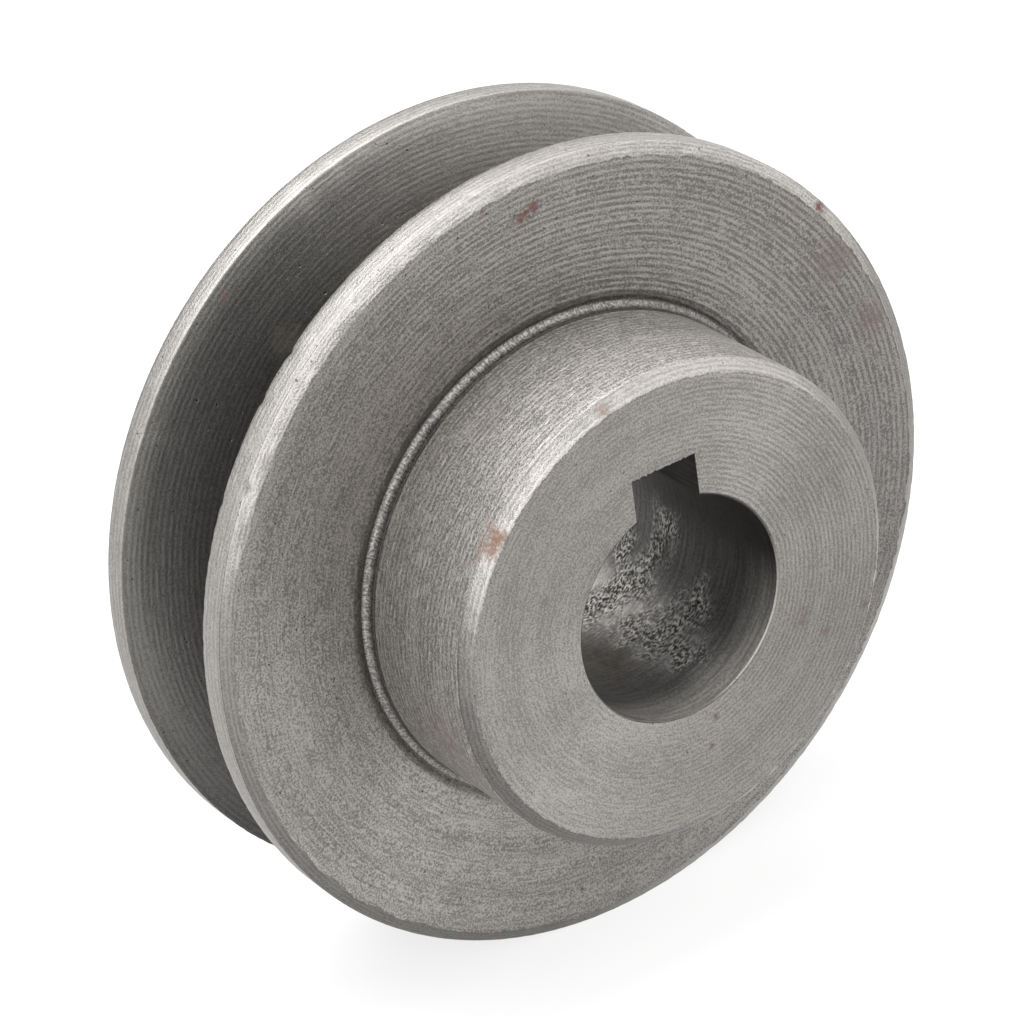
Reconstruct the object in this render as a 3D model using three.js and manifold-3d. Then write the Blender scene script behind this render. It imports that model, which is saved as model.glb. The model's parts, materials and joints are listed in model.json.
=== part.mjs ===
// Single-groove V-belt pulley, one casting turned all over, with a keyed bore.
// Millimetres, +Z up. The pulley turns about Y: y = 0 is the middle plane of the belt groove,
// the hub points to -Y and the keyway is at +Z.

import * as THREE from 'three';
import { mergeVertices } from 'three/addons/utils/BufferGeometryUtils.js';
import Module from 'manifold-3d';

// Rim and groove: one A-section groove (13 mm belt) on a 63 mm datum diameter
const OUTER_RADIUS = 34.25;
const GROOVE_MOUTH = 12.4;
const GROOVE_DEPTH = 11.45;
const GROOVE_HALF_ANGLE = THREE.MathUtils.degToRad(17);
const GROOVE_FLOOR_FILLET = 1.0;
const FRONT_LAND = 2.4; // cylindrical top of the flange on the hub side
const REAR_LAND = 2.1;
const FRONT_BEVEL = { radial: 1.05, axial: 0.6 };
const REAR_BEVEL = 0.35;

// Web and hub
const HUB_RADIUS = 20.55;
const HUB_PROJECTION = 12.65; // hub face in front of the rim's front face
const HUB_BEVEL = 1.0;
const WEB_DISH = 0.65; // the web falls this much from the rim to the hub
const RELIEF_OUTER_RADIUS = 21.85; // shallow turned relief around the foot of the hub
const RELIEF_FLOOR_RADIUS = 21.1;
const RELIEF_DEPTH = 0.2;
const FOOT_FILLET_HEIGHT = 0.8; // from the relief's floor to the hub's side

// Bore and keyway
const BORE_RADIUS = 9.5;
const BORE_BEVEL = 0.25;
const KEYWAY_WIDTH = 6;
const KEYWAY_ROOF = 12.6; // bore centre to the keyway's flat roof
const KEYWAY_START = 5; // the cutter begins inside the bore
const CUTTER_OVERRUN = 5;

const SEGMENTS = 96;
const FLOOR_ARC_STEPS = 3;
const FOOT_ARC_STEPS = 4;

// Places along the axis
const grooveFrontY = -GROOVE_MOUTH / 2;
const grooveRearY = GROOVE_MOUTH / 2;
const landFrontY = grooveFrontY - FRONT_LAND;
const landRearY = grooveRearY + REAR_LAND;
const webRimY = landFrontY - FRONT_BEVEL.axial;
const webHubY = webRimY + WEB_DISH;
const hubFaceY = webRimY - HUB_PROJECTION;
const rearFaceY = landRearY + REAR_BEVEL;

const point = (radius, y) => new THREE.Vector2(radius, y);

// Points on a round fillet between two straight stretches that meet at a corner.
function fillet(before, corner, after, radius, steps) {
  const toBefore = before.clone().sub(corner).normalize();
  const toAfter = after.clone().sub(corner).normalize();
  const halfAngle = Math.acos(toBefore.dot(toAfter)) / 2;
  const bisector = toBefore.clone().add(toAfter).normalize();
  const centre = corner.clone().addScaledVector(bisector, radius / Math.sin(halfAngle));
  const reach = radius / Math.tan(halfAngle);
  const start = corner.clone().addScaledVector(toBefore, reach).sub(centre);
  const end = corner.clone().addScaledVector(toAfter, reach).sub(centre);
  const turn = Math.atan2(start.cross(end), start.dot(end));
  return Array.from({ length: steps + 1 }, (_, i) =>
    start.clone().rotateAround(point(0, 0), (turn * i) / steps).add(centre));
}

// The foot of the hub: a hollow quarter-round from the hub down to the floor of the relief, which
// then slopes up to the web.
function footOutline() {
  const floorY = webHubY + RELIEF_DEPTH;
  const width = RELIEF_FLOOR_RADIUS - HUB_RADIUS;
  const quarterRound = Array.from({ length: FOOT_ARC_STEPS + 1 }, (_, i) => {
    const angle = (Math.PI / 2) * (i / FOOT_ARC_STEPS);
    return point(
      HUB_RADIUS + width * (1 - Math.cos(angle)),
      floorY - FOOT_FILLET_HEIGHT * (1 - Math.sin(angle)),
    );
  });
  return [...quarterRound, point(RELIEF_OUTER_RADIUS, webHubY)];
}

// The V groove: straight flanks with a filleted flat floor, from the front edge to the rear edge.
function grooveOutline() {
  const floorRadius = OUTER_RADIUS - GROOVE_DEPTH;
  const floorHalfWidth = GROOVE_MOUTH / 2 - GROOVE_DEPTH * Math.tan(GROOVE_HALF_ANGLE);
  const frontEdge = point(OUTER_RADIUS, grooveFrontY);
  const frontCorner = point(floorRadius, -floorHalfWidth);
  const rearCorner = point(floorRadius, floorHalfWidth);
  const rearEdge = point(OUTER_RADIUS, grooveRearY);
  return [
    frontEdge,
    ...fillet(frontEdge, frontCorner, rearCorner, GROOVE_FLOOR_FILLET, FLOOR_ARC_STEPS),
    ...fillet(frontCorner, rearCorner, rearEdge, GROOVE_FLOOR_FILLET, FLOOR_ARC_STEPS),
    rearEdge,
  ];
}

// Half section of the whole casting, closed on itself: hub face, hub, web, rim, rear face, bore.
function castingOutline() {
  const outline = [
    point(BORE_RADIUS + BORE_BEVEL, hubFaceY),
    point(HUB_RADIUS - HUB_BEVEL, hubFaceY),
    point(HUB_RADIUS, hubFaceY + HUB_BEVEL),
    ...footOutline(),
    point(OUTER_RADIUS - FRONT_BEVEL.radial, webRimY),
    point(OUTER_RADIUS, landFrontY),
    ...grooveOutline(),
    point(OUTER_RADIUS, landRearY),
    point(OUTER_RADIUS - REAR_BEVEL, rearFaceY),
    point(BORE_RADIUS + BORE_BEVEL, rearFaceY),
    point(BORE_RADIUS, rearFaceY - BORE_BEVEL),
    point(BORE_RADIUS, hubFaceY + BORE_BEVEL),
  ];
  return [...outline, outline[0].clone()];
}

const wasm = await Module();
wasm.setup();

function toManifold(geometry) {
  const plain = geometry.clone();
  plain.deleteAttribute('normal');
  plain.deleteAttribute('uv');
  const merged = mergeVertices(plain, 1e-4);
  return new wasm.Manifold(new wasm.Mesh({
    numProp: 3,
    vertProperties: new Float32Array(merged.attributes.position.array),
    triVerts: new Uint32Array(merged.index.array),
  }));
}

function toGeometry(solid) {
  const mesh = solid.getMesh();
  const geometry = new THREE.BufferGeometry();
  geometry.setAttribute('position', new THREE.BufferAttribute(mesh.vertProperties, mesh.numProp));
  geometry.setIndex(new THREE.BufferAttribute(mesh.triVerts, 1));
  geometry.computeVertexNormals();
  return geometry;
}

// The keyway runs the full length of the bore, square in its corners as a broach leaves it.
function keywayCutter() {
  const length = rearFaceY - hubFaceY + 2 * CUTTER_OVERRUN;
  const cutter = new THREE.BoxGeometry(KEYWAY_WIDTH, length, KEYWAY_ROOF - KEYWAY_START);
  cutter.translate(0, (rearFaceY + hubFaceY) / 2, (KEYWAY_ROOF + KEYWAY_START) / 2);
  return cutter;
}

const castIron = new THREE.MeshStandardMaterial({
  color: 0x8a8884,
  roughness: 0.55,
  metalness: 0.8,
});

const turned = toManifold(new THREE.LatheGeometry(castingOutline(), SEGMENTS));
const keyed = turned.subtract(toManifold(keywayCutter()));

const pulleyBody = new THREE.Mesh(toGeometry(keyed), castIron);
pulleyBody.name = 'pulley_body';

const pulley = new THREE.Group();
pulley.add(pulleyBody);

export default pulley;
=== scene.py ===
# A single-groove V-belt pulley in bare grey iron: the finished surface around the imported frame.
# Metres and +Z up in Blender. The shape is worked out in millimetres and scaled once, by MM.
# The pulley turns about Y, its hub points to -Y, and angles run from the keyway (+Z) towards +X.
import json
import math
from typing import NamedTuple

import bpy
import numpy as np
from mathutils import Matrix, Vector


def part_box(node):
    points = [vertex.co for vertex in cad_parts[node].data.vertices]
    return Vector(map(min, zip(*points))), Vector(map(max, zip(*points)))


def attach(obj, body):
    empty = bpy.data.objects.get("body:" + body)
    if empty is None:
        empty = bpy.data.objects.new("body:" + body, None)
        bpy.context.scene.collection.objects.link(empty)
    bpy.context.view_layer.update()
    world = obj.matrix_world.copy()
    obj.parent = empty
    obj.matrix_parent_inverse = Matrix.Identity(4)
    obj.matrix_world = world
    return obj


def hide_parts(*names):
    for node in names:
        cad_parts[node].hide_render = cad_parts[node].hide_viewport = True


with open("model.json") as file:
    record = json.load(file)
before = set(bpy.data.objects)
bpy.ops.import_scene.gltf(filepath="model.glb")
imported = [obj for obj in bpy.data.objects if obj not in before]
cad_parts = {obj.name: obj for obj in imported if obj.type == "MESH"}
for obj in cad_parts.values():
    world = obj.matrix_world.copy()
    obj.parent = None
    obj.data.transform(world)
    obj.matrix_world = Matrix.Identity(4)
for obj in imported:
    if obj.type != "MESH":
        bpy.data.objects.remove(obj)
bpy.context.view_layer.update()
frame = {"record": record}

MM = 0.001
NODE = "pulley_body"
SEED = 7

# Sizes that the frame gives, in millimetres
box_low, box_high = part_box(NODE)
mounts = {mount["name"]: mount for mount in frame["record"]["mounts"]}
OUTER_RADIUS = box_high.x / MM
HUB_FACE = box_low.y / MM
REAR_FACE = box_high.y / MM
KEYWAY_ROOF = mounts["keyway_roof"]["pos_m"][2] / MM

# Rim and groove
GROOVE_MOUTH = 12.4
GROOVE_DEPTH = 11.45
GROOVE_HALF_ANGLE = math.radians(17)
GROOVE_FLOOR_FILLET = 1.0
FRONT_LAND = 2.4
REAR_BEVEL = 0.35
FRONT_BEVEL_RADIAL = 1.05
FRONT_BEVEL_AXIAL = 0.6

# Web and hub
HUB_RADIUS = 20.55
HUB_BEVEL = 1.0
WEB_DISH = 0.65
RELIEF_OUTER_RADIUS = 21.85
RELIEF_FLOOR_RADIUS = 21.1
RELIEF_DEPTH = 0.2
FOOT_FILLET_HEIGHT = 0.8

# Bore and keyway
BORE_RADIUS = 9.5
BORE_BEVEL = 0.15
KEYWAY_WIDTH = 6.0

# Mesh
COLUMNS = 540
FLOOR_ARC_STEPS = 5
FOOT_ARC_STEPS = 6
EDGE_ROUND = 0.1  # how far a turned edge is softened along each side
EDGE_CUT = 0.25  # share of the way from the sharp corner to each side where its middle point lies
SHARP_ANGLE = math.radians(40)

# Feed of the lathe tool on each surface, the distance between two turning marks
WEB_FEED = 0.54
HUB_FACE_FEED = 0.43
HUB_SIDE_FEED = 0.53
GROOVE_FEED = 0.45
LAND_FEED = 0.5
BEVEL_FEED = 0.3

# Torn stretches of the bore's wall: (angle, y) of both ends, then half the width
TORN_BANDS = (
    ((168, -3.0), (134, -5.6), 1.5),
    ((134, -5.6), (104, -7.2), 1.0),
    ((160, -8.0), (155, -16.0), 0.9),
    ((155, -12.0), (131, -13.2), 1.4),
    ((130, -2.2), (118, -3.0), 0.5),
)
TORN_DEPTH = 0.05
TORN_CORE = 0.5  # fully torn within this share of the half width
TORN_REACH = 4 / 3  # and whole again beyond this share
TORN_RAISED = 0.4  # how far torn metal may stand proud, as a share of the depth
SCORE_DEPTH = 0.05  # of the broach's scores in the keyway's roof

# Chips on the rim's edges: angle, depth, half width
REAR_EDGE_CHIPS = ((339, 0.16, 0.7), (345, 0.12, 0.4), (301, 0.14, 0.5), (58, 0.12, 0.4), (192, 0.15, 0.6))
FRONT_EDGE_CHIPS = ((320, 0.12, 0.3), (313, 0.1, 0.3), (299, 0.07, 0.3), (96, 0.12, 0.4), (231, 0.14, 0.4))
BEVEL_CHIPS = ((351, 0.14, 0.4), (302, 0.16, 0.5), (330, 0.1, 0.4))
CHIP_SPREAD = 0.8  # how far a chip reaches along the axis, as a share of its depth

# Wear of the edges is a sum of waves, by how many of them go round the circle: from, to
SLOW_WAVES = (6, 60)
EVEN_WAVES = (20, 200)
FINE_WAVES = (40, 260)
SCORE_WAVES = (60, 250)

groove_front = -GROOVE_MOUTH / 2
groove_rear = GROOVE_MOUTH / 2
land_front = groove_front - FRONT_LAND
land_rear = REAR_FACE - REAR_BEVEL
web_rim = land_front - FRONT_BEVEL_AXIAL
web_hub = web_rim + WEB_DISH
relief_floor = web_hub + RELIEF_DEPTH


# ---------------------------------------------------------------- shape

def corner(radius, y, inner=0.0):
    """A point of the half section. Its radius is `radius` plus `inner` times the bore's own outline."""
    return np.array([radius, inner, y])


def plain(point):
    """The point's radius and place along the axis, away from the keyway."""
    return np.array([point[0] + point[1] * BORE_RADIUS, point[2]])


def arc(centre, radius, start, end, steps):
    """Points on a round stretch of the section, with its angles in degrees from the radial direction."""
    turns = np.radians(np.linspace(start, end, steps + 1))
    return [corner(centre[0] + radius * math.cos(t), centre[1] + radius * math.sin(t)) for t in turns]


def foot_arc(steps):
    """The hollow quarter-round from the hub's side down to the floor of the relief."""
    width = RELIEF_FLOOR_RADIUS - HUB_RADIUS
    turns = np.linspace(0, math.pi / 2, steps + 1)
    return [corner(HUB_RADIUS + width * (1 - math.cos(t)),
                   relief_floor - FOOT_FILLET_HEIGHT * (1 - math.sin(t))) for t in turns]


def groove_floor(steps):
    """The two fillets of the groove's floor, front then rear."""
    floor_radius = OUTER_RADIUS - GROOVE_DEPTH
    half_width = GROOVE_MOUTH / 2 - GROOVE_DEPTH * math.tan(GROOVE_HALF_ANGLE)
    reach = GROOVE_FLOOR_FILLET / math.tan((math.pi / 2 + GROOVE_HALF_ANGLE) / 2)
    centre_radius = floor_radius + GROOVE_FLOOR_FILLET
    flank = math.degrees(GROOVE_HALF_ANGLE)
    front = arc((centre_radius, reach - half_width), GROOVE_FLOOR_FILLET, 270 - flank, 180, steps)
    rear = arc((centre_radius, half_width - reach), GROOVE_FLOOR_FILLET, 180, 90 + flank, steps)
    return front, rear


def bore_places():
    """Places along the bore's wall from the rear, close together where the wall is torn."""
    torn_rear, torn_front = -0.5, -15.5
    ends = (REAR_FACE - BORE_BEVEL, torn_rear, torn_front, HUB_FACE + BORE_BEVEL)
    rows = (8, 44, 6)
    return np.concatenate([np.linspace(a, b, n, endpoint=False) for a, b, n in zip(ends, ends[1:], rows)])


class Head(NamedTuple):
    """A point of the outline and the stretch that starts there."""

    zone: str
    rows: int  # of faces along the stretch
    point: np.ndarray
    edge: str | None  # name of the edge at the point, if it is softened and can be worn


def outline_heads():
    """The casting's closed outline: hub face, hub, web, rim, groove, rear face, bore."""
    front_floor, rear_floor = groove_floor(FLOOR_ARC_STEPS)
    foot = foot_arc(FOOT_ARC_STEPS)
    bore = [corner(0, y, inner=1) for y in bore_places()]
    stretches = (
        ("hub_face", 8, [corner(BORE_BEVEL, HUB_FACE, inner=1)], "bore_mouth"),
        ("hub_bevel", 3, [corner(HUB_RADIUS - HUB_BEVEL, HUB_FACE)], "hub_inner"),
        ("hub_side", 12, [corner(HUB_RADIUS, HUB_FACE + HUB_BEVEL)], "hub_outer"),
        ("foot", 1, foot[:-1], None),
        ("relief", 3, [foot[-1]], None),
        ("web", 10, [corner(RELIEF_OUTER_RADIUS, web_hub)], "relief"),
        ("rim_bevel", 3, [corner(OUTER_RADIUS - FRONT_BEVEL_RADIAL, web_rim)], "bevel_inner"),
        ("front_land", 3, [corner(OUTER_RADIUS, land_front)], "bevel_outer"),
        ("front_wall", 6, [corner(OUTER_RADIUS, groove_front)], "groove_front"),
        ("groove_floor", 1, front_floor + rear_floor[:-1], None),
        ("rear_wall", 6, [rear_floor[-1]], None),
        ("rear_land", 3, [corner(OUTER_RADIUS, groove_rear)], "groove_rear"),
        ("rear_bevel", 1, [corner(OUTER_RADIUS, land_rear)], "rear_outer"),
        ("rear_face", 10, [corner(OUTER_RADIUS - REAR_BEVEL, REAR_FACE)], "rear_inner"),
        ("bore_bevel", 1, [corner(BORE_BEVEL, REAR_FACE, inner=1)], None),
        ("bore", 1, bore, None),
        ("bore_bevel", 1, [corner(0, HUB_FACE + BORE_BEVEL, inner=1)], None),
    )
    return [Head(zone, rows if point is points[-1] else 1, point, edge)
            for zone, rows, points, edge in stretches for point in points]


def half_section():
    """The outline with its rows and soft edges: points, zone after each point, edge at each point."""
    heads = outline_heads()
    points, zones, edges = [], [], []
    for n, head in enumerate(heads):
        before = heads[n - 1]
        after = heads[(n + 1) % len(heads)]
        second_after = heads[(n + 2) % len(heads)]
        start, end = head.point, after.point
        if head.edge:
            soft = softened(before.point, head.point, after.point)
            points += soft[:2]
            zones += [before.zone, head.zone]
            edges += [head.edge, head.edge]
            start = soft[2]
        if after.edge:
            end = softened(head.point, after.point, second_after.point)[0]
        for step in range(head.rows):
            points.append(start + (end - start) * step / head.rows)
            zones.append(head.zone)
            edges.append(head.edge if step == 0 else None)
    return np.array(points), zones, edges


def softened(before, point, after):
    """Three points in place of a sharp corner: before it, just inside it and after it."""
    back, ahead = before - point, after - point
    back = back * EDGE_ROUND / np.linalg.norm(plain(before) - plain(point))
    ahead = ahead * EDGE_ROUND / np.linalg.norm(plain(after) - plain(point))
    return [point + back, point + (back + ahead) * EDGE_CUT, point + ahead]


def column_angles():
    """Even angles round the axis, with the nearest ones moved onto the keyway's corners."""
    angles = np.linspace(-math.pi, math.pi, COLUMNS, endpoint=False)
    half = KEYWAY_WIDTH / 2
    for turn in (math.atan2(half, KEYWAY_ROOF), math.asin(half / BORE_RADIUS)):
        for side in (-1, 1):
            angles[np.argmin(abs(angles - side * turn))] = side * turn
    return angles


def bore_outline(angles, ragged=0.0):
    """Distance from the axis to the wall of the bore or the keyway at each angle."""
    half = KEYWAY_WIDTH / 2
    across, up = abs(np.sin(angles)), np.cos(angles)
    in_keyway = (up > 0) & (across * BORE_RADIUS < half)
    roof = (KEYWAY_ROOF + ragged) / np.maximum(up, 1e-6)
    wall = half / np.maximum(across, 1e-6)
    return np.where(in_keyway, np.minimum(roof, wall), BORE_RADIUS)


def ripple(rng, angles, waves):
    """A random curve round the circle that closes on itself, of about unit height."""
    waves = np.arange(*waves)
    phases = rng.uniform(0, 2 * math.pi, len(waves))
    heights = rng.normal(size=len(waves)) / np.sqrt(len(waves) / 2)
    return (heights[:, None] * np.cos(waves[:, None] * angles + phases[:, None])).sum(0)


def chips(angles, places):
    """Depth of the listed chips at each angle."""
    depth = np.zeros_like(angles)
    for turn, deep, half_width in places:
        gap = np.angle(np.exp(1j * (angles - math.radians(turn)))) * OUTER_RADIUS
        depth = np.maximum(depth, deep * np.exp(-(gap / half_width) ** 2))
    return depth


def edge_wear(rng, angles):
    """For each worn edge, how far it moves (radially, along the axis) at each angle."""
    def fray(size, waves=EVEN_WAVES):
        return size * ripple(rng, angles, waves)

    bevel_edge = fray(0.06, SLOW_WAVES) + fray(0.06, FINE_WAVES)
    hub_edge = fray(0.03, SLOW_WAVES) + fray(0.012, FINE_WAVES)
    rear_chips = chips(angles, REAR_EDGE_CHIPS) + abs(fray(0.02, FINE_WAVES))
    front_chips = chips(angles, FRONT_EDGE_CHIPS) + abs(fray(0.015, FINE_WAVES))
    bevel_chips = chips(angles, BEVEL_CHIPS)
    still = np.zeros_like(angles)
    return {
        "groove_rear": (-rear_chips, CHIP_SPREAD * rear_chips),
        "groove_front": (-front_chips, -CHIP_SPREAD * front_chips),
        "rear_outer": (-abs(fray(0.008)), still),
        "bevel_outer": (-bevel_chips - abs(fray(0.005)), bevel_chips + fray(0.015)),
        "bevel_inner": (bevel_edge, still),
        "hub_outer": (-abs(fray(0.004)), hub_edge),
        "hub_inner": (hub_edge + fray(0.04, FINE_WAVES), abs(fray(0.006))),
    }


def torn_share(angles, y):
    """How torn the bore's wall is at each angle and place, from 0 to 1."""
    round_way = (angles % (2 * math.pi)) * BORE_RADIUS + 0 * y[:, None]
    along = y[:, None] + 0 * angles
    share = np.zeros_like(round_way)
    for start, way, half_width in torn_lines():
        past = np.stack([round_way, along], -1) - start
        reach = np.clip(past @ way / (way @ way), 0, 1)
        gap = np.linalg.norm(past - reach[..., None] * way, axis=-1)
        here = (TORN_REACH - gap / half_width) / (TORN_REACH - TORN_CORE)
        share = np.maximum(share, np.clip(here, 0, 1))
    return share


def torn_lines():
    """The torn bands on the unrolled bore: start and run (mm round the bore, mm along it), half width."""
    for (turn_a, y_a), (turn_b, y_b), half_width in TORN_BANDS:
        start = np.array([math.radians(turn_a) * BORE_RADIUS, y_a])
        end = np.array([math.radians(turn_b) * BORE_RADIUS, y_b])
        yield start, end - start, half_width


def pitting(rng, shape):
    """Random pits of about unit depth, each a few columns wide round the bore."""
    spread = range(-2, 3)
    grid = rng.normal(size=shape)
    grid = sum(np.roll(grid, shift, axis=1) for shift in spread)
    return np.maximum(grid / grid.std(), -TORN_RAISED)


def shaped_grid(points, zones, edges, angles):
    """Radius and place along the axis of every point of the surface, with its wear, in millimetres."""
    rng = np.random.default_rng(SEED)
    scores = SCORE_DEPTH * ripple(rng, angles, SCORE_WAVES)
    radius = points[:, :1] + points[:, 1:2] * bore_outline(angles, scores)
    y = np.repeat(points[:, 2:3], COLUMNS, axis=1)

    for edge, (outward, along) in edge_wear(rng, angles).items():
        for row in (n for n, name in enumerate(edges) if name == edge):
            radius[row] += outward
            y[row] += along

    bore = [n for n, zone in enumerate(zones) if zone == "bore"]
    torn = torn_share(angles, points[bore, 2])
    radius[bore] += TORN_DEPTH * torn * pitting(rng, torn.shape)
    return radius, y


def closed_quads(rows):
    """Quads between the neighbours of a grid that closes on itself both ways."""
    index = np.arange(rows * COLUMNS).reshape(rows, COLUMNS)
    next_column = np.roll(index, -1, axis=1)
    next_row = np.roll(index, -1, axis=0)
    beyond = np.roll(next_row, -1, axis=1)
    return np.stack([index, next_column, beyond, next_row], axis=-1).reshape(-1, 4)


def build_mesh():
    """The casting's surface as one closed quad mesh with a material for each turned surface."""
    points, zones, edges = half_section()
    angles = column_angles()
    radius, y = shaped_grid(points, zones, edges, angles)
    place = np.stack([radius * np.sin(angles), y, radius * np.cos(angles)], axis=-1) * MM
    mesh = bpy.data.meshes.new("turned_pulley")
    mesh.from_pydata(place.reshape(-1, 3).tolist(), [], closed_quads(len(points)).tolist())

    kinds = [FINISH_OF_ZONE[zone] for zone in zones]
    names = sorted(set(kinds))
    for name in names:
        mesh.materials.append(FINISHES[name]())
    mesh.materials.append(keyway_finish())
    slots = np.repeat([names.index(kind) for kind in kinds], COLUMNS).reshape(len(kinds), COLUMNS)
    slots[np.outer(np.isin(kinds, ["bore"]), bore_outline(angles) > BORE_RADIUS)] = len(names)
    mesh.polygons.foreach_set("material_index", slots.ravel().astype(np.int32))
    mesh.shade_smooth()
    mesh.set_sharp_from_angle(angle=SHARP_ANGLE)
    mesh.update()
    return mesh


# ---------------------------------------------------------------- materials

TURNED_ANISOTROPY = 0.85  # a turned face shines along its radius, across the tool's marks
TURNED_METALLIC = 0.85
SHADED_METALLIC = 0.8  # in the bore and the keyway
FOOT_METALLIC = 0.7
IRON_TINT = (1.0, 0.957, 0.905)

# Black of the pores, and of the painted shade in the web's relief, at the hub's foot and in two patches in
# the bore
PORE_AND_SHADE_BLACK = (0.04, 0.035, 0.03)
RED_RUST = (0.1, 0.04, 0.033)
ORANGE_RUST = (0.17, 0.08, 0.045)
BROWN_STAIN = (0.13, 0.1, 0.07)
FAINT_RED = (0.12, 0.082, 0.07)


class StainAndShadePatch(NamedTuple):
    """A spot of rust or dirt, or a patch of painted shade."""

    radius: float  # of its middle from the axis
    turn: float  # of its middle round the axis, in degrees
    y: float
    size: float
    strength: float  # share of the surface that it covers at its middle
    colour: tuple


class Iron:
    """A node material for one surface of the casting. Lengths in it are millimetres."""

    def __init__(self, name):
        self.material = bpy.data.materials.new(name)
        self.material.use_nodes = True
        self.tree = self.material.node_tree
        self.tree.nodes.clear()
        texture = self.tree.nodes.new("ShaderNodeTexCoord")
        self.place = self.scaled(texture.outputs["Object"], 1 / MM)
        split = self.tree.nodes.new("ShaderNodeSeparateXYZ")
        self.join(split.inputs[0], self.place)
        self.x, self.y, self.z = split.outputs
        squares = [self.math("POWER", side, 2.0) for side in (self.x, self.z)]
        self.radius = self.math("SQRT", self.math("ADD", *squares))
        self.turn_x = self.math("DIVIDE", self.x, self.radius)
        self.turn_z = self.math("DIVIDE", self.z, self.radius)

    def join(self, socket, value):
        if isinstance(value, bpy.types.NodeSocket):
            self.tree.links.new(value, socket)
        else:
            socket.default_value = value

    def math(self, operation, *values):
        node = self.tree.nodes.new("ShaderNodeMath")
        node.operation = operation
        for socket, value in zip(node.inputs, values):
            self.join(socket, value)
        return node.outputs[0]

    def product(self, *values):
        """The values multiplied together."""
        result = values[0]
        for value in values[1:]:
            result = self.math("MULTIPLY", result, value)
        return result

    def total(self, *parts, base=0.0):
        """`base` plus each (value, share) pair's value times its share."""
        for value, share in parts:
            base = self.math("MULTIPLY_ADD", value, share, base)
        return base

    def vector(self, operation, *values):
        node = self.tree.nodes.new("ShaderNodeVectorMath")
        node.operation = operation
        for socket, value in zip(node.inputs, values):
            self.join(socket, value)
        return node.outputs["Value" if operation in ("LENGTH", "DISTANCE", "DOT_PRODUCT") else "Vector"]

    def scaled(self, vector, factor):
        node = self.tree.nodes.new("ShaderNodeVectorMath")
        node.operation = "SCALE"
        self.join(node.inputs[0], vector)
        self.join(node.inputs["Scale"], factor)
        return node.outputs[0]

    def combine(self, x, y, z):
        node = self.tree.nodes.new("ShaderNodeCombineXYZ")
        for socket, value in zip(node.inputs, (x, y, z)):
            self.join(socket, value)
        return node.outputs[0]

    def noise(self, vector, scale, detail):
        """A random pattern around 0.5 with about `scale` grains to the millimetre."""
        node = self.tree.nodes.new("ShaderNodeTexNoise")
        self.join(node.inputs["Vector"], vector)
        node.inputs["Scale"].default_value = scale
        node.inputs["Detail"].default_value = detail
        return node.outputs[0]

    def span(self, value, start, end, low=0.0, high=1.0):
        """`value` brought from start..end to low..high, held outside and smooth at both ends."""
        node = self.tree.nodes.new("ShaderNodeMapRange")
        node.interpolation_type = "SMOOTHSTEP"
        for socket, number in zip(node.inputs, (value, start, end, low, high)):
            self.join(socket, number)
        return node.outputs[0]

    def mix(self, share, first, second):
        node = self.tree.nodes.new("ShaderNodeMix")
        node.data_type = "RGBA"
        self.join(node.inputs["Factor"], share)
        for socket, colour in ((node.inputs[6], first), (node.inputs[7], second)):
            self.join(socket, colour if isinstance(colour, bpy.types.NodeSocket) else (*colour, 1.0))
        return node.outputs[2]

    def rings(self, across, spacing, drift, detail=1.0):
        """Uneven rings round the axis, `spacing` apart. The higher `drift` is, the shorter they are."""
        place = self.combine(self.math("DIVIDE", across, spacing),
                             self.product(self.turn_x, drift),
                             self.product(self.turn_z, drift))
        return self.noise(place, 1.0, detail)

    def feed_marks(self, across, feed):
        """The wave that the lathe tool leaves, from 0 to 1, a little uneven."""
        wander = self.product(self.rings(across, 2.2, 2.0), 5.0)
        phase = self.math("MULTIPLY_ADD", across, 2 * math.pi / feed, wander)
        return self.math("MULTIPLY_ADD", self.math("SINE", phase), 0.5, 0.5)

    def pores(self, spacing, size, share):
        """Small round pits: 1 in a pit, 0 on the metal. `share` is the part of the cells that hold one."""
        node = self.tree.nodes.new("ShaderNodeTexVoronoi")
        self.join(node.inputs["Vector"], self.place)
        node.inputs["Scale"].default_value = 1 / spacing
        near = self.span(node.outputs["Distance"], size / spacing, 0.4 * size / spacing)
        split = self.tree.nodes.new("ShaderNodeSeparateColor")
        self.join(split.inputs[0], node.outputs["Color"])
        return self.product(near, self.math("LESS_THAN", split.outputs[0], share))

    def grey(self, tone):
        """Grey iron of that brightness, a little warm."""
        return self.scaled(IRON_TINT, tone)

    def toward(self, turn):
        """From -1 to 1: how near a place is to that angle round the axis, in degrees."""
        angle = math.radians(turn)
        return self.total((self.turn_x, math.sin(angle)), (self.turn_z, math.cos(angle)))

    def torn(self, uneven):
        """Where the bore's wall is torn, from 0 to 1, as torn_share has it but with an uneven edge."""
        # The angle is measured from below, so that it jumps at the keyway and not in a torn band
        away = self.math("ARCTAN2", self.product(self.x, -1.0), self.product(self.z, -1.0))
        round_way = self.math("MULTIPLY_ADD", away, BORE_RADIUS, math.pi * BORE_RADIUS)
        here = self.combine(round_way, self.y, 0.0)
        most = 0.0
        for start, way, half_width in torn_lines():
            past = self.vector("SUBTRACT", here, (*start, 0.0))
            reach = self.math("DIVIDE", self.vector("DOT_PRODUCT", past, (*way, 0.0)), float(way @ way))
            reach = self.math("MAXIMUM", self.math("MINIMUM", reach, 1.0), 0.0)
            gap = self.vector("LENGTH", self.vector("SUBTRACT", past, self.scaled((*way, 0.0), reach)))
            gap = self.math("MULTIPLY_ADD", uneven, 5.0, gap)
            most = self.math("MAXIMUM", most, self.span(gap, half_width + 4.0, half_width + 0.9))
        return most

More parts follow.
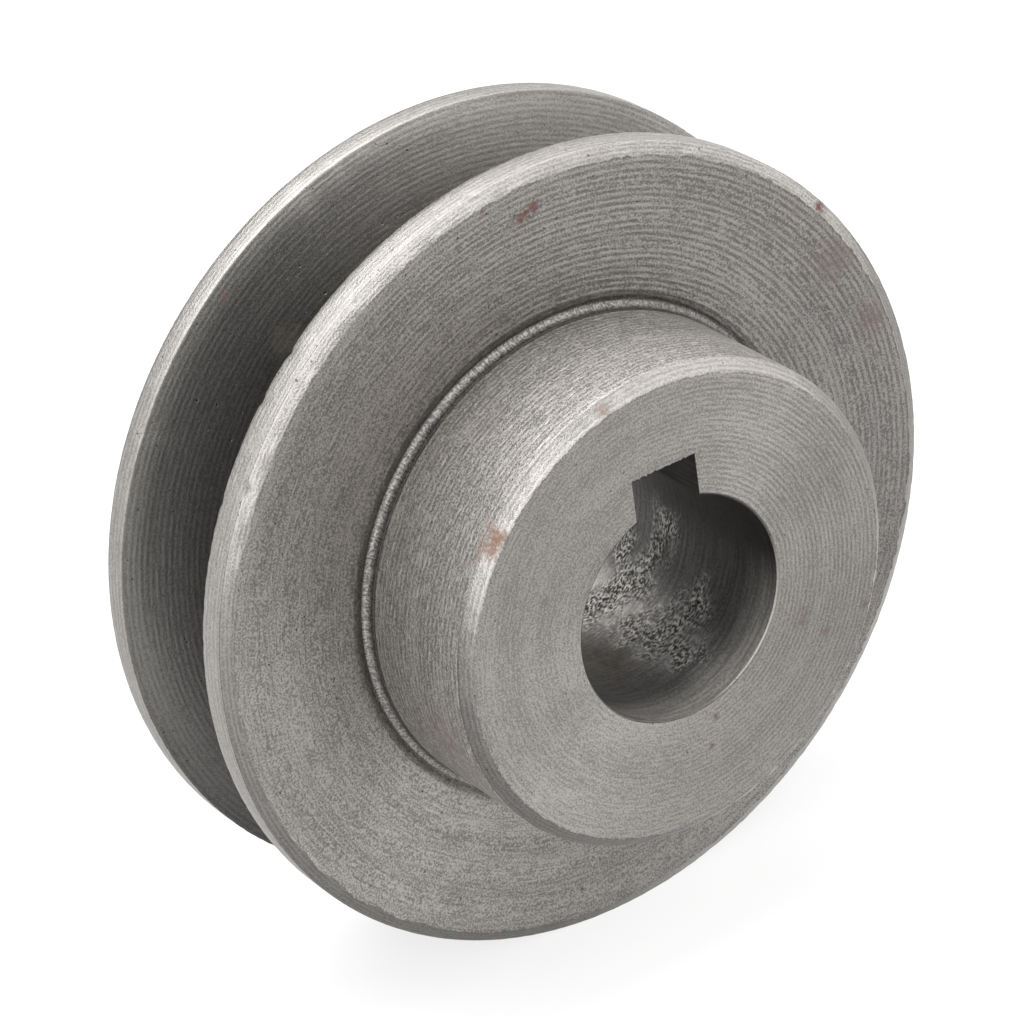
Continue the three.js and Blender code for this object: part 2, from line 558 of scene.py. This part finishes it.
    def spot(self, stain_and_shade):
        """Where a stain or a patch of painted shade lies, from 0 to its strength, with a torn edge."""
        turn = math.radians(stain_and_shade.turn)
        centre = (stain_and_shade.radius * math.sin(turn), stain_and_shade.y, stain_and_shade.radius * math.cos(turn))
        gap = self.vector("DISTANCE", self.place, centre)
        ragged = self.noise(self.place, 2.2 / stain_and_shade.size + 0.8, 4.0)
        edge = self.math("MULTIPLY_ADD", ragged, 1.8 * stain_and_shade.size, gap)
        return self.span(edge, 1.9 * stain_and_shade.size, 0.9 * stain_and_shade.size, 0.0, stain_and_shade.strength)

    def finish(self, colour, roughness, height, metallic, anisotropy):
        shader = self.tree.nodes.new("ShaderNodeBsdfPrincipled")
        output = self.tree.nodes.new("ShaderNodeOutputMaterial")
        bump = self.tree.nodes.new("ShaderNodeBump")
        bump.inputs["Distance"].default_value = MM
        self.join(bump.inputs["Height"], height)
        self.join(shader.inputs["Base Color"], colour)
        self.join(shader.inputs["Roughness"], roughness)
        self.join(shader.inputs["Metallic"], metallic)
        self.join(shader.inputs["Normal"], bump.outputs[0])
        tangent = self.tree.nodes.new("ShaderNodeTangent")
        tangent.direction_type = "RADIAL"
        tangent.axis = "Y"
        shader.inputs["Anisotropic"].default_value = anisotropy
        self.join(shader.inputs["Tangent"], tangent.outputs[0])
        self.tree.links.new(shader.outputs[0], output.inputs["Surface"])
        return self.material


# Rust and stains on each surface, and two patches of painted shade in the bore
STAINS_AND_SHADE = {
    "web": (
        StainAndShadePatch(31.2, 359, -9.1, 1.1, 0.95, RED_RUST),
        StainAndShadePatch(30.7, 357, -9.1, 1.0, 0.9, RED_RUST),
        StainAndShadePatch(33.0, 351, -9.2, 0.4, 0.8, RED_RUST),
        StainAndShadePatch(31.5, 60, -9.0, 3.0, 0.6, FAINT_RED),
        StainAndShadePatch(32.0, 73, -9.0, 2.4, 0.7, FAINT_RED),
        StainAndShadePatch(32.3, 48, -9.0, 0.9, 0.5, FAINT_RED),
    ),
    "hub_face": (
        StainAndShadePatch(19.2, 113, -21.9, 0.7, 0.8, FAINT_RED),
        StainAndShadePatch(15.7, 121, -21.9, 0.7, 0.7, FAINT_RED),
        StainAndShadePatch(12.9, 118, -21.9, 1.4, 0.4, FAINT_RED),
        StainAndShadePatch(11.1, 170, -21.9, 0.5, 0.7, RED_RUST),
        StainAndShadePatch(13.4, 175, -21.9, 0.5, 0.7, RED_RUST),
    ),
    "bevel": (
        StainAndShadePatch(33.7, 52, -8.9, 1.0, 1.0, RED_RUST),
        StainAndShadePatch(20.2, 310, -21.5, 1.3, 0.9, ORANGE_RUST),
        StainAndShadePatch(20.2, 307, -21.5, 1.0, 0.7, ORANGE_RUST),
        StainAndShadePatch(20.1, 347, -21.5, 0.8, 0.5, ORANGE_RUST),
    ),
    "hub_side": (
        StainAndShadePatch(20.5, 307, -21.0, 1.2, 0.8, ORANGE_RUST),
        StainAndShadePatch(20.5, 303, -20.9, 0.8, 0.6, ORANGE_RUST),
        StainAndShadePatch(20.5, 312, -20.6, 0.9, 0.5, ORANGE_RUST),
        StainAndShadePatch(20.5, 256, -17.5, 5.0, 0.6, BROWN_STAIN),
        StainAndShadePatch(20.5, 330, -14.0, 2.5, 0.3, FAINT_RED),
    ),
    "groove": (
        StainAndShadePatch(27.0, 322, 4.2, 2.0, 0.3, BROWN_STAIN),
        StainAndShadePatch(33.2, 322, 5.8, 0.6, 0.6, RED_RUST),
    ),
    "bore": (
        StainAndShadePatch(9.5, 186, -10.5, 4.0, 0.45, BROWN_STAIN),
        # painted shade: two black patches darken the bore where it lies in shade
        StainAndShadePatch(9.5, 166, -8.5, 7.0, 0.5, PORE_AND_SHADE_BLACK),
        StainAndShadePatch(9.5, 80, -7.5, 4.0, 0.4, PORE_AND_SHADE_BLACK),
    ),
}


# Patterns in turned iron: grains to the millimetre
GRAIN_SCALE = 6.0
COARSE_SCALE = 1.3
CLOUD_SCALE = 0.25


def turned_finish(iron, across, *, feed, tone, contrast, feed_depth, grain_depth, roughness, stains_and_shade=(),
                  lines=1.0, pore_share=0.35, pore_size=0.14, scratches_and_glints=0.0, dirt_and_shade=0.0,
                  anisotropy=TURNED_ANISOTROPY):
    """Bare turned iron.

    `across` is the way across the turning marks: the radius on a face, y on a cylinder. `lines` says how
    plainly the feed marks show. The scratches and the darkening are given as their shares in the colour: the
    scratches are wear and partly painted glints, and the darkening is dirt and painted shade.
    """
    broken = iron.span(iron.rings(across, 0.5, 16.0), 0.35, 0.6, 0.35, 1.0)
    lines = iron.product(broken, lines)
    feed_wave = iron.feed_marks(across, feed)
    rings = iron.rings(across, feed * 0.3, 14.0)
    grain = iron.noise(iron.place, GRAIN_SCALE, 1.0)
    pores = iron.math("MAXIMUM", iron.pores(1.3, pore_size, pore_share), iron.pores(0.7, 0.09, pore_share))

    mottle = iron.total(
        (grain, 0.55),
        (rings, 0.22),
        (iron.noise(iron.place, COARSE_SCALE, 2.0), 0.05),
        (iron.rings(across, feed * 4, 0.8), 0.12),
        (iron.noise(iron.place, CLOUD_SCALE, 3.0), 0.06),
        (iron.product(iron.math("SUBTRACT", feed_wave, 0.5), lines), 0.15),
    )
    colour = iron.grey(iron.product(iron.span(mottle, 0.38, 0.62, 1 - contrast, 1 + contrast), tone))
    if scratches_and_glints:
        colour = scratched_and_glinting(iron, across, colour, tone, scratches_and_glints)
    colour = iron.mix(iron.product(pores, 0.75), colour, PORE_AND_SHADE_BLACK)
    # painted shade, partly dirt: darkens the web's relief round the hub and a line at the hub's foot
    if dirt_and_shade:
        colour = iron.mix(dirt_and_shade, colour, PORE_AND_SHADE_BLACK)
    colour, rust = stained_and_shaded(iron, colour, stains_and_shade)

    height = iron.total(
        (iron.product(feed_wave, lines), feed_depth),
        (rings, feed_depth * 0.7),
        (grain, grain_depth),
        (pores, -0.05),
    )
    rough = iron.total((grain, 0.16), (rust, 0.2), base=roughness - 0.08)
    metallic = iron.total((rust, -0.7), base=TURNED_METALLIC) if stains_and_shade else TURNED_METALLIC
    return iron.finish(colour, rough, height, metallic, anisotropy)


def scratched_and_glinting(iron, across, colour, tone, share):
    """The colour with fine scratches round the axis, painted bright: wear, and partly painted glints."""
    fine = iron.span(iron.rings(across, 0.13, 22.0), 0.6, 0.72)
    # painted glints: the scratches are coloured far lighter than the iron round them
    glint_bright = iron.grey(iron.product(tone, 2.6))
    return iron.mix(iron.product(fine, share), colour, glint_bright)


def stained_and_shaded(iron, colour, stains_and_shade):
    """The colour with its stains and patches of painted shade, and the share of the surface that they cover
    at each place.
    """
    cover = 0.0
    for stain_and_shade in stains_and_shade:
        share = iron.spot(stain_and_shade)
        colour = iron.mix(share, colour, stain_and_shade.colour)
        cover = iron.math("MAXIMUM", cover, share)
    return colour, cover


def web_finish():
    """The web: its turning marks show most on one side, its tone is darker on one side as painted shade, and
    dirt and painted shade darken the relief round the hub.
    """
    iron = Iron("iron_web")
    ragged = iron.math("MULTIPLY_ADD", iron.noise(iron.place, 1.6, 2.0), 1.2, iron.radius)
    return turned_finish(
        iron, iron.radius, feed=WEB_FEED, contrast=0.4, feed_depth=0.022, grain_depth=0.03, roughness=0.5,
        # painted shade: the web's tone is darker on one side
        tone=iron.span(iron.toward(70), 0.3, 0.9, 0.25, 0.198),
        lines=iron.span(iron.toward(40), -0.2, 0.9, 0.15, 1.0),
        # dirt and painted shade in the relief round the hub
        dirt_and_shade=iron.span(ragged, RELIEF_OUTER_RADIUS + 1.1, RELIEF_FLOOR_RADIUS + 0.6, 0.0, 0.6),
        stains_and_shade=STAINS_AND_SHADE["web"])


def face_finish():
    """The hub's face and the rear face, which has the same marks but none of the stains."""
    iron = Iron("iron_hub_face")
    return turned_finish(
        iron, iron.radius, feed=HUB_FACE_FEED, contrast=0.31, feed_depth=0.012, grain_depth=0.02,
        roughness=0.5, pore_share=0.25, pore_size=0.12,
        # painted shade: the face's tone is darker on one side
        tone=iron.span(iron.toward(100), 0.3, 0.9, 0.262, 0.235),
        lines=iron.span(iron.toward(90), -0.5, 0.9, 0.3, 1.0),
        stains_and_shade=STAINS_AND_SHADE["hub_face"])


def hub_side_finish():
    """The hub's side: scratched round the axis, with a line of painted shade, partly dirt, where it meets the
    foot.
    """
    iron = Iron("iron_hub_side")
    line_y = relief_floor - FOOT_FILLET_HEIGHT - 0.15
    from_line = iron.math("ABSOLUTE", iron.math("SUBTRACT", iron.y, line_y))
    return turned_finish(
        iron, iron.y, feed=HUB_SIDE_FEED, tone=0.31, contrast=0.42, feed_depth=0.012, grain_depth=0.035,
        roughness=0.62, lines=0.7, scratches_and_glints=0.45, anisotropy=0.4,
        # painted shade, partly dirt, along the crease at the hub's foot
        dirt_and_shade=iron.span(from_line, 0.22, 0.05, 0.0, 0.7),
        stains_and_shade=STAINS_AND_SHADE["hub_side"])


def bevel_finish():
    """The bevels of the rim and the hub, with painted shade on one side."""
    iron = Iron("iron_bevel")
    return turned_finish(
        iron, iron.radius, feed=BEVEL_FEED, contrast=0.22, feed_depth=0.004, grain_depth=0.03,
        roughness=0.5, pore_share=0.2,
        # painted shade: the bevels are darker on one side
        tone=iron.span(iron.toward(235), 0.35, 0.75, 0.31, 0.16),
        stains_and_shade=STAINS_AND_SHADE["bevel"])


def land_finish():
    """The outside of the two flanges."""
    iron = Iron("iron_land")
    return turned_finish(
        iron, iron.y, feed=LAND_FEED, tone=0.33, contrast=0.22, feed_depth=0.005, grain_depth=0.03,
        roughness=0.48, scratches_and_glints=0.2)


def groove_finish():
    """The groove's walls and floor: dark, with painted light at the top and painted shade at the bottom."""
    iron = Iron("iron_groove")
    # painted light at the top of the groove and painted shade at its bottom
    painted_light_top = iron.span(iron.toward(20), 0.4, 1.0, 1.0, 2.0)
    painted_shade_bottom = iron.span(iron.toward(20), -1.0, -0.2, 0.6, 1.0)
    return turned_finish(
        iron, iron.radius, feed=GROOVE_FEED, contrast=0.24, feed_depth=0.007, grain_depth=0.012,
        roughness=0.5, scratches_and_glints=0.12,
        tone=iron.product(painted_light_top, painted_shade_bottom, 0.11),
        stains_and_shade=STAINS_AND_SHADE["groove"])


def bore_edge_finish():
    """The broken edge of the bore: dull, with a painted highlight along one stretch."""
    iron = Iron("iron_bore_edge")
    return turned_finish(
        iron, iron.radius, feed=BEVEL_FEED, contrast=0.2, feed_depth=0.002, grain_depth=0.01, roughness=0.5,
        # painted highlight along one stretch of the edge
        tone=iron.span(iron.toward(122), 0.6, 1.0, 0.09, 0.2))


def bore_finish():
    """The bore: painted light on one side and towards its mouth, painted shade elsewhere, and torn in bands
    where the tool tore the metal.
    """
    iron = Iron("iron_bore")
    rings = iron.rings(iron.y, 0.3, 2.0)
    grain = iron.noise(iron.place, 4.4, 1.0)
    streaks = iron.rings(iron.y, 0.22, 30.0, 4.0)
    torn = iron.torn(iron.noise(iron.place, 0.45, 4.0))
    # painted light on one side of the bore and towards its mouth; the low base tone is painted shade deep
    # inside
    painted_light_side = iron.span(iron.toward(165), 0.1, 0.95)
    painted_light_mouth = iron.product(iron.span(iron.y, HUB_FACE + 5.0, HUB_FACE + 0.3), painted_light_side)
    tone = iron.total((painted_light_side, 0.12), (painted_light_mouth, 0.44), base=0.042)
    mottle = iron.total((grain, 0.45), (rings, 0.55))
    smooth = iron.grey(iron.product(tone, iron.span(mottle, 0.36, 0.64, 0.72, 1.28)))
    smooth, _ = stained_and_shaded(iron, smooth, STAINS_AND_SHADE["bore"])
    ragged = iron.grey(iron.span(streaks, 0.38, 0.7, 0.03, 0.8))
    height = iron.total((grain, 0.012), (rings, 0.012), (iron.product(torn, streaks), 0.2))
    rough = iron.total((torn, 0.08), base=0.4)
    return iron.finish(iron.mix(torn, smooth, ragged), rough, height, SHADED_METALLIC, anisotropy=0.6)


def keyway_finish():
    """Broached iron: fine straight scores along the axis."""
    iron = Iron("iron_keyway")
    scores = iron.noise(iron.combine(iron.x, iron.product(iron.y, 0.06), iron.z), 5.0, 3.0)
    colour = iron.grey(iron.span(scores, 0.3, 0.7, 0.08, 0.15))
    rough = iron.total((scores, 0.2), base=0.35)
    return iron.finish(colour, rough, iron.product(scores, 0.03), SHADED_METALLIC, TURNED_ANISOTROPY)


def foot_finish():
    """The foot of the hub: short radial chatter marks of the tool across the fillet."""
    iron = Iron("iron_foot")
    chatter = iron.noise(iron.combine(iron.turn_x, iron.turn_z, 0.0), 150.0, 2.0)
    grain = iron.noise(iron.place, 5.5, 2.0)
    marks = iron.total((grain, 0.6), (chatter, 0.4))
    ragged = iron.math("MULTIPLY_ADD", iron.noise(iron.place, 2.0, 2.0), 0.4, iron.y)
    shade = iron.span(ragged, relief_floor - 0.45, relief_floor + 0.1, 0.35, 1.0)
    colour = iron.grey(iron.product(iron.span(marks, 0.4, 0.6, 0.1, 0.3), shade))
    rough = iron.total((grain, 0.2), base=0.45)
    return iron.finish(colour, rough, iron.product(marks, 0.08), FOOT_METALLIC, anisotropy=0.3)


FINISHES = {
    "web": web_finish,
    "face": face_finish,
    "hub_side": hub_side_finish,
    "bevel": bevel_finish,
    "land": land_finish,
    "groove": groove_finish,
    "foot": foot_finish,
    "bore": bore_finish,
    "bore_edge": bore_edge_finish,
}
FINISH_OF_ZONE = {
    "hub_face": "face",
    "hub_bevel": "bevel",
    "hub_side": "hub_side",
    "foot": "foot",
    "relief": "web",
    "web": "web",
    "rim_bevel": "bevel",
    "front_land": "land",
    "front_wall": "groove",
    "groove_floor": "groove",
    "rear_wall": "groove",
    "rear_land": "land",
    "rear_bevel": "bevel",
    "rear_face": "face",
    "bore_bevel": "bore_edge",
    "bore": "bore",
}


def add_pulley():
    piece = bpy.data.objects.new("turned_pulley", build_mesh())
    bpy.context.scene.collection.objects.link(piece)
    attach(piece, "root")
    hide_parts(NODE)


# ---------------------------------------------------------------- studio

CAMERA_AZIMUTH = math.radians(-34.6)
CAMERA_ELEVATION = math.radians(24.3)
CAMERA_DISTANCE = 368.6 * MM
CAMERA_SLIDE = (-0.87 * MM, 0.19 * MM)  # to the right and up in its own frame
CAMERA_LENS = 158.2
KEYWAY_LEAN = math.radians(9)  # the pulley has rolled this far, so the camera turns the other way

FLOOR_SIZE = 6.0
FLOOR_GLOW = 0.76  # keeps the shadow pale
FLOOR_GREY = (0.22, 0.22, 0.22, 1.0)
WHITE = (1.0, 1.0, 1.0, 1.0)
WORLD_STRENGTH = 0.38

# Soft square lights aimed at the pulley: name, place and side in metres, watts
LIGHTS = (
    ("top", (0.0, 0.0, 0.6), 0.4, 3.2),
    ("back", (-0.1, 0.3, 0.45), 0.4, 2.9),
    ("right", (0.4, -0.35, 0.25), 0.3, 0.4),
    ("right_high", (0.3, -0.4, 0.55), 0.4, 2.4),
    ("left", (-0.25, -0.5, 0.3), 0.3, 2.2),
    ("left_low", (-0.5, -0.45, 0.1), 0.25, 0.9),
)


def add_camera():
    back = Vector((math.sin(CAMERA_AZIMUTH) * math.cos(CAMERA_ELEVATION),
                   -math.cos(CAMERA_AZIMUTH) * math.cos(CAMERA_ELEVATION),
                   math.sin(CAMERA_ELEVATION)))
    right = Vector((math.cos(CAMERA_AZIMUTH), math.sin(CAMERA_AZIMUTH), 0))
    up = back.cross(right)
    place = back * CAMERA_DISTANCE + right * CAMERA_SLIDE[0] + up * CAMERA_SLIDE[1]
    stand = Matrix((right, up, back)).transposed().to_4x4()
    stand.translation = place
    data = bpy.data.cameras.new("camera")
    data.lens = CAMERA_LENS
    data.clip_start = 0.01
    camera = bpy.data.objects.new("camera", data)
    camera.matrix_world = Matrix.Rotation(KEYWAY_LEAN, 4, "Y") @ stand
    bpy.context.scene.collection.objects.link(camera)
    bpy.context.scene.camera = camera


def add_floor():
    half = FLOOR_SIZE / 2
    level = box_low.z
    mesh = bpy.data.meshes.new("floor")
    mesh.from_pydata([(-half, -half, level), (half, -half, level), (half, half, level), (-half, half, level)],
                     [], [(0, 1, 2, 3)])
    material = bpy.data.materials.new("pale_floor")
    material.use_nodes = True
    shader = material.node_tree.nodes["Principled BSDF"]
    shader.inputs["Base Color"].default_value = FLOOR_GREY
    shader.inputs["Roughness"].default_value = 0.9
    shader.inputs["Specular IOR Level"].default_value = 0.1
    shader.inputs["Emission Color"].default_value = WHITE
    shader.inputs["Emission Strength"].default_value = FLOOR_GLOW
    mesh.materials.append(material)
    floor = bpy.data.objects.new("floor", mesh)
    bpy.context.scene.collection.objects.link(floor)


def add_light(name, place, size, watts):
    data = bpy.data.lights.new(name, "AREA")
    data.shape = "SQUARE"
    data.size = size
    data.energy = watts
    light = bpy.data.objects.new(name, data)
    light.location = place
    light.rotation_euler = (-Vector(place)).to_track_quat("-Z", "Y").to_euler()
    bpy.context.scene.collection.objects.link(light)


def add_world():
    world = bpy.data.worlds.new("studio")
    world.use_nodes = True
    sky = world.node_tree.nodes["Background"]
    sky.inputs["Color"].default_value = WHITE
    sky.inputs["Strength"].default_value = WORLD_STRENGTH
    bpy.context.scene.world = world


add_camera()
add_pulley()
add_floor()
add_world()
for light in LIGHTS:
    add_light(*light)
bpy.context.scene.view_settings.view_transform = "Standard"
